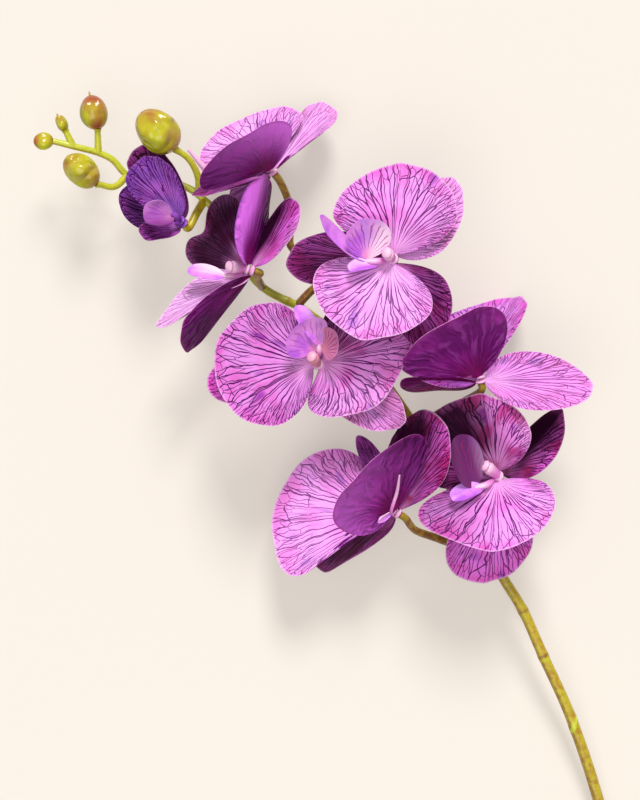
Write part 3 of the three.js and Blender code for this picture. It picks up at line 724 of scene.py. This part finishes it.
def waxy(name, ground, patch, brown, roughness, scale, specks, creases):
    """A bud's or a stem's skin, green with duller patches. Its tint is how brown it is, or how
    fresh a green if less than 0."""
    f = Finish(name, Specular_IOR_Level=0.5, Roughness=roughness)
    _, tint, _ = f.stored("along").parts()
    place = f.stored("spot")
    broad = f.noise(place, scale, 3.0).step(0.38, 0.66)
    fine = f.noise(place, scale * 2.6, 3.0)
    speck = fine.step(0.56, 0.72)
    colour = f.mix(broad, ground, patch)
    # On the stem and the stalks this brown is partly painted shade.
    colour = f.mix(tint * (0.6 + broad * 0.4), colour, brown)
    colour = f.mix(0 - tint, colour, FRESH_GREEN)
    colour = f.mix(speck * specks, colour, brown)
    crease = abs(f.noise(place, 0.075, 1.0) - 0.5).step(0.0, 0.2)
    height = fine * 0.25 + crease * creases
    return f.done(colour, roughness + (fine - 0.5) * 0.2, height, 0.5, 0.0009)


def flesh(name, pale, blush, spot):
    """A column, a throat or the disc of a bloom: smooth, and blushing towards its foot. Its tint
    is how much it has of the spot colour."""
    soft = dict(Subsurface_Weight=0.15, Subsurface_Scale=0.002)
    f = Finish(name, Specular_IOR_Level=0.5, Roughness=FLESH_ROUGHNESS, **soft)
    share, tint, _ = f.stored("along").parts()
    cloud = f.noise(f.stored("spot"), 1.6, 2.0)
    colour = f.mix((share + (cloud - 0.5) * 0.5).step(0.25, 0.85), blush, pale)
    colour = f.mix(tint, colour, spot)
    return f.done(colour, FLESH_ROUGHNESS + (cloud - 0.5) * 0.2, cloud, 0.2)


def floor_finish():
    glow = dict(Emission_Color=FLOOR_GLOW, Emission_Strength=1.0)
    f = Finish("pale_floor", Roughness=0.9, Specular_IOR_Level=0.1, **glow)
    place = f.add("ShaderNodeTexCoord", {}, {}, "Object")
    return f.done(f.mix(f.noise(place, 3.0, 3.0), *FLOOR_COLOURS))


FINISHES = dict(
    petal_front=veined(
        "petal_front",
        ground=(0.89, 0.31, 0.89),
        pale=(0.95, 0.46, 0.90),
        flush=(0.84, 0.12, 0.64),
        line=(0.07, 0.0, 0.09),
        line_width=0.29,
    ),
    petal_back=dark_back(
        "petal_back", ground=(0.32, 0.020, 0.35), deep=(0.13, 0.003, 0.14), foot=(0.24, 0.004, 0.11)
    ),
    sepal_front=veined(
        "sepal_front",
        ground=(0.90, 0.18, 0.88),
        pale=(0.92, 0.42, 0.88),
        flush=(0.82, 0.08, 0.56),
        line=(0.075, 0.0, 0.06),
        line_width=0.3,
    ),
    sepal_back=dark_back(
        "sepal_back", ground=(0.25, 0.016, 0.27), deep=(0.09, 0.003, 0.10), foot=(0.28, 0.006, 0.12)
    ),
    lip=lip_face(),
    column=flesh(
        "column_flesh", pale=(0.84, 0.50, 0.70), blush=(0.72, 0.20, 0.60), spot=(0.62, 0.22, 0.25)
    ),
    young=flesh(
        "young_flesh", pale=(0.26, 0.06, 0.44), blush=(0.13, 0.02, 0.24), spot=(0.08, 0.01, 0.15)
    ),
    bud=waxy(
        "bud_skin",
        ground=(0.55, 0.60, 0.012),
        patch=(0.44, 0.42, 0.012),
        brown=(0.36, 0.085, 0.03),
        roughness=0.18,
        scale=0.1,
        specks=0.15,
        creases=4.0,
    ),
    stem=waxy(
        "stem_skin",
        ground=(0.50, 0.41, 0.012),
        patch=(0.42, 0.25, 0.012),
        brown=(0.20, 0.075, 0.016),
        roughness=0.34,
        scale=0.35,
        specks=0.35,
        creases=0.3,
    ),
)


# Meshes


def put(name, data):
    made = bpy.data.objects.new(name, data)
    bpy.context.scene.collection.objects.link(made)
    return made


class Solid:
    """Vertices, faces and stored values of one piece, gathered before its mesh is made.

    On a blade, fan is the place round the rim, the share of the way out and a number of its own,
    and flat is the place on the spread blade and half the length of its rim. On a tube, along is
    the share of its length and its tint, and spot is the place in millimetres.
    """

    def __init__(self):
        self.points = []
        self.faces = []
        self.slots = []
        self.finishes = []
        self.values = {name: [] for name in ("fan", "flat", "tone", "along", "spot")}
        self.count = 0

    def add(self, points, faces, finish, **values):
        if finish not in self.finishes:
            self.finishes.append(finish)
        points = np.asarray(points, float).reshape(-1, 3)
        for name, kept in self.values.items():
            given = values.get(name, np.zeros((len(points), 3)))
            kept.append(np.asarray(given, float).reshape(-1, 3))
        self.points.append(points)
        self.faces.extend((np.asarray(faces) + self.count).tolist())
        self.slots.extend([self.finishes.index(finish)] * len(faces))
        self.count += len(points)

    def piece(self, name, slot, *nodes):
        mesh = bpy.data.meshes.new(name)
        points = (np.concatenate(self.points) - MIDDLE) / METRE
        mesh.from_pydata(points.tolist(), [], self.faces)
        for finish in self.finishes:
            mesh.materials.append(FINISHES[finish])
        mesh.polygons.foreach_set("material_index", self.slots)
        for key, kept in self.values.items():
            values = np.concatenate(kept)
            if values.any():
                stored = mesh.attributes.new(key, "FLOAT_VECTOR", "POINT")
                stored.data.foreach_set("vector", values.astype(np.float32).ravel())
        mesh.update()
        mesh.shade_smooth()
        made = put(name, mesh)
        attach(made, "root")
        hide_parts(*nodes)


def unit(v):
    v = np.asarray(v, float)
    return v / np.linalg.norm(v, axis=-1, keepdims=True)


def raise_to(height, points):
    points[..., 2] = np.maximum(points[..., 2], height)


def surface(form, root):
    """The middle of a blade, as a function of where round its outline and how far out to it.

    Where is q, from -1 to 1 with the tip at 0. How far is the share r. The function returns the
    points and their places x across and y along the blade when it is spread flat.
    """
    chord = np.asarray(form["tip"], float) - root
    reach = np.linalg.norm(chord)
    u = chord / reach
    n = np.asarray(form["face"], float)
    n = unit(n - n.dot(u) * u)
    w = np.cross(u, n)
    bend = math.radians(form["bend"])
    length = reach * bend / 2 / math.sin(bend / 2)
    mean_half = (form["right"][0] + form["left"][0]) / 2
    curls = np.radians(np.broadcast_to(form["cup"], 2)) / mean_half

    def outline(q):
        sides = zip(form["right"], form["left"])
        half, widest, tip, foot, ear = [np.where(q > 0, right, left) for right, left in sides]
        turn = np.abs(q) * math.pi
        front = turn < math.pi / 2
        opening = np.clip(np.sin(turn), 0, None)
        notch = 1 - form["notch"] * np.exp(-((q / 0.12) ** 2))
        back = ear * length * np.clip(np.sin(2 * turn - math.pi), 0, None)
        y = (widest + np.where(front, 1 - widest, widest) * np.cos(turn)) * length
        y = y - np.where(front, 0, back)
        x = half * opening ** np.where(front, tip, foot) * np.sign(q)
        return x * notch, y * notch

    def at(q, r):
        x, y = outline(q)
        x, y = x * r, y * r
        f = (y / length - 0.5) * bend
        forward = length / bend * (np.sin(f) + math.sin(bend / 2))
        rise = length / bend * (np.cos(f) - math.cos(bend / 2))
        curl = np.where(q > 0, *curls)
        curl = np.where(np.abs(curl) < 1e-6, 1e-6, curl)
        across = np.sin(curl * x) / curl
        lift = (1 - np.cos(curl * x)) / curl
        p = root + u * (forward + lift * np.sin(f))[..., None]
        p = p + n * (rise + lift * np.cos(f))[..., None] + w * across[..., None]
        raise_to(LEAST_BLADE_MIDDLE, p)
        return p, x, y

    return at


def rim_notches(random, q):
    """Small ins and outs of a rim, as a share of the way out to it."""
    notches = 0.0
    for k in range(3, 12):
        depth = random.normal(0, RIM_NOTCH / k**0.5)
        notches = notches + depth * np.sin(k * math.pi * q + random.uniform(0, 6))
    return notches


def blade_relief(random, form, q, r, x):
    """Height above the smooth blade: a rippled rim, fine ribs and a fold down the middle."""
    broad, narrow, rib = random.uniform(0, 6, 3)
    wave = np.sin(5.3 * math.pi * q / 2 + broad) + 0.6 * np.sin(11.1 * math.pi * q / 2 + narrow)
    ripple = form["ruffle"] * r**4 * wave * np.clip(1.15 - np.abs(q), 0, 1)
    ribs = RIB_HEIGHT * np.sin(q / (0.72 + 0.28 * r) * 2 * math.pi * RIBS + rib)
    ribs = ribs * np.sin(math.pi * np.clip(r * 1.1, 0, 1)) ** 0.5
    fold = -FOLD_DEPTH * np.exp(-((x / FOLD_WIDTH) ** 2)) * np.clip(1 - r * 1.1, 0, 1)
    return ripple + ribs + fold


def grid_faces(rows, columns):
    i, j = np.meshgrid(np.arange(rows - 1), np.arange(columns - 1), indexing="ij")
    a = i * columns + j
    return np.stack([a, a + columns, a + columns + 1, a + 1], -1).reshape(-1, 4)


def grid_border(rows, columns):
    """The numbers of a grid's outer points, once round."""
    last_column = np.arange(rows) * columns + columns - 1
    last_row = (rows - 1) * columns + np.arange(columns - 2, -1, -1)
    first_column = np.arange(rows - 2, -1, -1) * columns
    first_row = np.arange(1, columns - 1)
    return np.concatenate([last_column, last_row, first_column, first_row])


def add_blade(solid, form, root, seed):
    """A blade: the same grid for both faces, closer together near the rim and joined round it."""
    kind = BLADE_KINDS[form["kind"]]
    random = np.random.default_rng(seed)
    at = surface(form, root)
    q = np.linspace(-1, 1, kind["rays"] + 2)[1:-1]
    r = np.linspace(0, 1, kind["rings"] + 1)[1:] ** 0.9
    q, r = np.meshgrid(q, [FIRST_RING, *r], indexing="ij")
    p, x, y = at(q, r * (1 + rim_notches(random, q) * r**3))
    reach = np.linalg.norm(np.diff(p[:, -1], axis=0), axis=1).sum() / 2

    normal = unit(np.cross(np.gradient(p, axis=0), np.gradient(p, axis=1)) + 1e-9)
    p = p + normal * blade_relief(random, form, q, r, x)[..., None]
    half = normal * (BLADE_THICKNESS / 2 * (1 - 0.55 * r**8))[..., None]
    up, down = p + half, p - half
    raise_to(LEAST_BLADE_FACE, up)
    raise_to(LEAST_BLADE_FACE, down)

    # The tone, with its painted shade and painted light, blends from one side of the blade to the other.
    left, right = np.broadcast_to(form["tone"], (2, 3))
    share = (0.5 + 0.5 * np.sin(math.pi * q) * r)[..., None]
    values = dict(
        fan=np.stack([q, r, np.full_like(q, seed % 97 / 9.7)], -1),
        flat=np.stack([x, y, np.full_like(q, reach)], -1),
        tone=left + (right - left) * share,
    )
    faces = grid_faces(*q.shape)
    solid.add(up, faces, kind["front"], **values)
    solid.add(down, faces[:, ::-1], kind["back"], **values)

    border = grid_border(*q.shape)
    count = len(border)
    a = np.arange(count)
    b = (a + 1) % count
    rim = np.concatenate([face.reshape(-1, 3)[border] for face in (up, down)])
    ring = np.stack([b, a, a + count, b + count], -1)
    doubled = {key: np.tile(value.reshape(-1, 3)[border], (2, 1)) for key, value in values.items()}
    solid.add(rim, ring, kind["front"], **doubled)


def smooth_path(points, steps):
    """Evenly spaced points on a smooth curve through the given ones."""
    given = np.asarray(points, float)
    ends = [2 * given[0] - given[1], *given, 2 * given[-1] - given[-2]]
    t = np.linspace(0, 1, 40)[:, None]
    out = []
    for p0, p1, p2, p3 in zip(ends, ends[1:], ends[2:], ends[3:]):
        spans = ((p0, p1), (p1, p2), (p2, p3))
        d0, d1, d2 = [max(np.linalg.norm(b - a) ** 0.5, 1e-4) for a, b in spans]
        m1 = ((p1 - p0) / d0 - (p2 - p0) / (d0 + d1) + (p2 - p1) / d1) * d1
        m2 = ((p2 - p1) / d1 - (p3 - p1) / (d1 + d2) + (p3 - p2) / d2) * d1
        start = p1 * (2 * t**3 - 3 * t**2 + 1) + m1 * (t**3 - 2 * t**2 + t)
        out.append(start + p2 * (3 * t**2 - 2 * t**3) + m2 * (t**3 - t**2))
    line = np.concatenate(out)
    gone = np.cumsum(np.linalg.norm(np.diff(line, axis=0, prepend=line[:1]), axis=1))
    even = np.linspace(0, gone[-1], steps + 1)
    return np.stack([np.interp(even, gone, line[:, i]) for i in range(3)], -1)


def add_tube(solid, line, radius, sides, finish, tint=0.0):
    """A closed tube along a line. Radius and tint are functions of the share of its length and
    the turn round it, and tint may be a number."""
    tangents = unit(np.gradient(line, axis=0))
    normals = [unit(np.cross(tangents[0], [0.31, 0.2, 0.93]))]
    for tangent in tangents[1:]:
        normals.append(unit(normals[-1] - normals[-1].dot(tangent) * tangent))
    normals = np.array(normals)
    binormals = np.cross(tangents, normals)
    s = np.linspace(0, 1, len(line))[:, None]
    a = np.linspace(0, 2 * math.pi, sides + 1)[None, :-1]
    size = radius(s, a) * np.ones((len(line), sides))
    p = line[:, None] + normals[:, None] * (size * np.cos(a))[..., None]
    p = p + binormals[:, None] * (size * np.sin(a))[..., None]
    raise_to(LEAST_TUBE, p)

    i, j = np.meshgrid(np.arange(len(line) - 1), np.arange(sides), indexing="ij")
    k = (j + 1) % sides
    ring, beyond = i * sides, (i + 1) * sides
    quads = np.stack([ring + j, ring + k, beyond + k, beyond + j], -1).reshape(-1, 4)
    tints = tint(s, a) if callable(tint) else tint
    along = np.stack(np.broadcast_arrays(s, tints, np.zeros_like(size)), -1)
    solid.add(p, quads, finish, along=along, spot=p)
    for index, order in ((0, -1), (len(line) - 1, 1)):
        faces = np.array([[0, 1 + m, 1 + (m + 1) % sides][::order] for m in range(sides)])
        cap, values = [np.concatenate([[v[index].mean(0)], v[index]]) for v in (p, along)]
        solid.add(cap, faces, finish, along=values, spot=cap)


# The pieces


def seed_of(bloom, form, number):
    """What a blade's random numbers start from."""
    return BLADE_KINDS[form["kind"]]["seed"] + 31 * int(bloom["name"][-1]) + 7 * number


def build_whorl(bloom, kind, lift, node):
    """A bloom's petals or sepals, and the disc where they meet."""
    centre = np.asarray(bloom["centre"], float)
    face = unit(bloom["face"])
    middle = centre + face * lift
    made = Solid()
    for number, form in enumerate(bloom[kind + "s"]):
        tip = centre + form["tip"]
        out = tip - middle
        out = unit(out - out.dot(face) * face)
        root = middle + out * HUB_RADIUS * BLADE_START
        add_blade(made, dict(form, tip=tip), root, seed_of(bloom, form, number))

    def radius(s, a):
        return HUB_RADIUS * np.sin(math.pi * np.clip(s, 0.02, 0.98)) ** 0.5

    ends = [middle - face * HUB_HALF, middle, middle + face * HUB_HALF]
    add_tube(made, smooth_path(ends, 8), radius, 20, bloom.get("flesh", "column"))
    made.piece(bloom["name"] + "_veined_" + kind + "s", kind, node)


def build_column(bloom):
    """The column, wider towards its end, and the rounded cap over it."""
    centre = np.asarray(bloom["centre"], float)
    face = unit(bloom["face"])
    end = centre + bloom["column"]
    foot = centre + face * (PETAL_LIFT + HUB_HALF + SEAT_GAP + 0.6)
    axis = unit(end - foot)
    salmon = bloom.get("salmon", 0.1)

    def body(s, a):
        return COLUMN_RADIUS * (0.9 + 0.65 * s + 0.1 * np.cos(2 * a)) * np.clip(1.04 - s**8, 0.3, 1)

    def cap(s, a):
        dome = np.sin(math.pi * np.clip(s, 0.01, 0.99)) ** 0.6
        return CAP_RADIUS * dome * (1 + 0.06 * np.cos(2 * a))

    made = Solid()
    line = smooth_path([foot, (foot + end) / 2, end], 24)
    add_tube(made, line, body, 28, "column", salmon)
    line = smooth_path([end - axis * 1.4, end, end + axis * 1.6], 18)
    add_tube(made, line, cap, 24, "column", salmon * 0.5)
    made.piece(bloom["name"] + "_column_and_cap", "column", bloom["name"] + "_column")


def build_lip(bloom):
    """The throat, from the bloom's middle outwards, and the lobes of the lip."""
    centre = np.asarray(bloom["centre"], float)
    face = unit(bloom["face"])
    out = np.asarray(bloom["throat"][0], float)
    out = unit(out - out.dot(face) * face)
    beside = face * (PETAL_LIFT + HUB_HALF + 2 * SEAT_GAP) + out * CLAW_OFFSET
    claw = centre + bloom.get("claw", beside)
    widest = THROAT_RADIUS * (0.5 if "claw" in bloom else 1.0)

    def radius(s, a):
        return widest * (0.5 + 0.5 * np.sin(math.pi * s)) * (1 + 0.08 * np.cos(3 * a))

    made = Solid()
    line = smooth_path([claw, *[centre + p for p in bloom["throat"]]], 30)
    add_tube(made, line, radius, 20, bloom.get("flesh", "column"))
    for number, form in enumerate(bloom["lobes"]):
        local = dict(form, tip=centre + form["tip"])
        add_blade(made, local, centre + form["root"], seed_of(bloom, form, number))
    made.piece(bloom["name"] + "_lip_and_lobes", "lip", bloom["name"] + "_lip")


def build_bud(form, seed):
    """A closed bud, with three seams and soft dents."""
    foot = np.asarray(form["foot"], float)
    end = np.asarray(form["end"], float)
    axis = unit(end - foot)
    start = foot - axis * 0.4
    phases = np.random.default_rng(seed).uniform(0, 6, 6)
    turn = np.linspace(0.04, 0.96, 44) * math.pi
    share = (1 - np.cos(turn)) / 2

    def radius(s, a):
        swell = np.sin((0.04 + 0.92 * s) * math.pi) * (1 + 0.05 * np.cos(s * math.pi))
        seam = 1 - 0.07 * np.exp(-((((a / (2 * math.pi) * 3 + 0.25 * s) % 1 - 0.5) / 0.06) ** 2))
        dents = sum(np.sin(k * a + phases[k] + 5 * s) for k in (2, 3, 4, 5))
        return form["width"] / 2 * swell * (seam + 0.022 * dents * np.sin(math.pi * s))

    def blush(s, a):
        # Browner towards both ends and down one side.
        return form["blush"] * np.clip(1.3 * (s * 2 - 0.85) ** 2 + 0.45 * np.cos(a + 1.5), 0, 1)

    made = Solid()
    add_tube(made, start + (end - start) * share[:, None], radius, 48, "bud", blush)
    if form["spike"]:
        line = smooth_path([end - axis * 0.6, end + axis * 0.3, end + axis * form["spike"]], 6)
        add_tube(made, line, lambda s, a: 0.75 - 0.5 * s, 12, "bud", 0.9)
    made.piece(form["name"] + "_closed_sepals", "bud", form["name"])


def ring_mark(s, at, width, power=2):
    """1 at a place along the stem and 0 away from it."""
    return np.exp(-(((s - at) / width) ** power))


def stem_radius(s, a):
    thick, waist, thin = STEM_RADII
    low = thick + (waist - thick) * s / STEM_WAIST
    high = waist + (thin - waist) * (s - STEM_WAIST) / (1 - STEM_WAIST)
    rings = sum(ring_mark(s, at, SWELLING_WIDTH) for at in (LOWER_COLLAR, UPPER_COLLAR, *SWELLINGS))
    rings = rings + ring_mark(s + SCAR_SLANT * np.cos(a), SCAR, SWELLING_WIDTH)
    plain = np.where(s < STEM_WAIST, low, high) * (1 + 0.02 * np.cos(5 * a))
    return plain + SWELLING_HEIGHT * rings


def stem_tint(s, a):
    """Ochre below, brown at collars and swellings, and fresh green at the scar and above."""
    # Ochre below, browner down one side as painted side shade.
    ochre_and_side_shade = 0.42 * np.clip(1.1 - s / 0.33, 0, 1) * (0.6 + 0.4 * np.cos(a + 1.0))
    # Painted shade: a dark strip down one side of the stem.
    edge = 0.6 * np.clip(-3 * np.cos(a) - 2, 0, 1)
    brown = 1.3 * ring_mark(s, LOWER_COLLAR + 0.0012, 0.0015, 4)
    brown = brown + ring_mark(s, UPPER_COLLAR, 0.0013, 4)
    brown = brown + 0.6 * sum(ring_mark(s, at, 0.0015, 4) for at in SWELLINGS)
    scar_width = 0.0032 + 0.0012 * np.cos(3 * a)
    fresh = 1.1 * ring_mark(s + SCAR_SLANT * np.cos(a), SCAR, scar_width, 4)
    fresh = fresh + 0.6 * ring_mark(s, LOWER_COLLAR - 0.0025, 0.0012, 4)
    fresh = fresh + 0.75 * np.clip((s - 0.6) * 8, 0, 1)
    return np.clip(ochre_and_side_shade + edge + brown - fresh, -1, 1)


def pedicel_radius(s, a):
    return PEDICEL_RADIUS * (1 - 0.12 * s) * (1 + 0.03 * np.cos(6 * a))


def bud_stalk_radius(s, a):
    """Thinner towards the bud, and wider again just under it."""
    return 1.8 - 0.4 * s + 0.5 * np.clip(s * 8 - 7, 0, 1)


def build_stem():
    """The stem and the stalk of each bloom and bud."""
    made = Solid()
    add_tube(made, smooth_path(STEM, 700), stem_radius, 22, "stem", stem_tint)
    seat = SEPAL_DROP + HUB_HALF + 0.1
    for bloom in BLOOMS:
        face = unit(bloom["face"])
        centre = np.asarray(bloom["centre"], float)
        # The stalk's brown tint, partly its own olive brown and partly painted shade.
        olive_and_shade = bloom.get("olive_and_shade", 1.2)
        ends = [centre - face * (seat + 3), centre - face * seat]
        line = smooth_path([*bloom["pedicel"], *ends], 50)
        add_tube(made, line, pedicel_radius, 16, "stem", lambda s, a: olive_and_shade * (1 - 0.15 * s))
    for bud in BUDS:
        if bud["pedicel"]:
            line = smooth_path([*bud["pedicel"], bud["foot"]], 30)
            add_tube(made, line, bud_stalk_radius, 14, "stem", -0.6)
    made.piece("stem_and_pedicels", "stem", "stem")


for bloom in BLOOMS:
    name = bloom["name"]
    petals = name + ("_petals" if len(bloom["petals"]) > 1 else "_petal")
    build_whorl(bloom, "petal", PETAL_LIFT, petals)
    build_whorl(bloom, "sepal", -SEPAL_DROP, name + "_sepals")
    if "column" in bloom:
        build_column(bloom)
    build_lip(bloom)
for number, form in enumerate(BUDS):
    build_bud(form, 900 + number)
build_stem()


# Floor, light and camera, in metres

FLOOR_HALF = 12.0
WORLD_LIGHT = 0.34
CAMERA_PLACE = (-0.009, 0.0639, 1.077)


def sun(name, place, energy, spread):
    """A far lamp that shines from a place towards the spray. Spread is its width in degrees."""
    light = bpy.data.lights.new(name, "SUN")
    light.energy = energy
    light.angle = math.radians(spread)
    made = put(name, light)
    made.location = place
    made.rotation_mode = "QUATERNION"
    made.rotation_quaternion = (-Vector(place)).to_track_quat("-Z", "Y")


floor_mesh = bpy.data.meshes.new("floor")
corners = [(x * FLOOR_HALF, y * FLOOR_HALF, 0) for x, y in ((-1, -1), (1, -1), (1, 1), (-1, 1))]
floor_mesh.from_pydata(corners, [], [(0, 1, 2, 3)])
floor_mesh.materials.append(floor_finish())
floor = put("floor", floor_mesh)

world = bpy.data.worlds.new("studio")
world.use_nodes = True
background = world.node_tree.nodes["Background"]
background.inputs["Color"].default_value = STUDIO_WHITE
background.inputs["Strength"].default_value = WORLD_LIGHT
bpy.context.scene.world = world

sun("key", (0.12, 1.0, 0.93), energy=3.0, spread=20)
sun("fill", (-0.15, -0.3, 1), energy=1.2, spread=45)

camera = put("camera", bpy.data.cameras.new("camera"))
camera.data.lens = 100
camera.data.sensor_width = 36
camera.location = CAMERA_PLACE
bpy.context.scene.camera = camera
bpy.context.scene.view_settings.view_transform = "Standard"

bpy.context.view_layer.update()
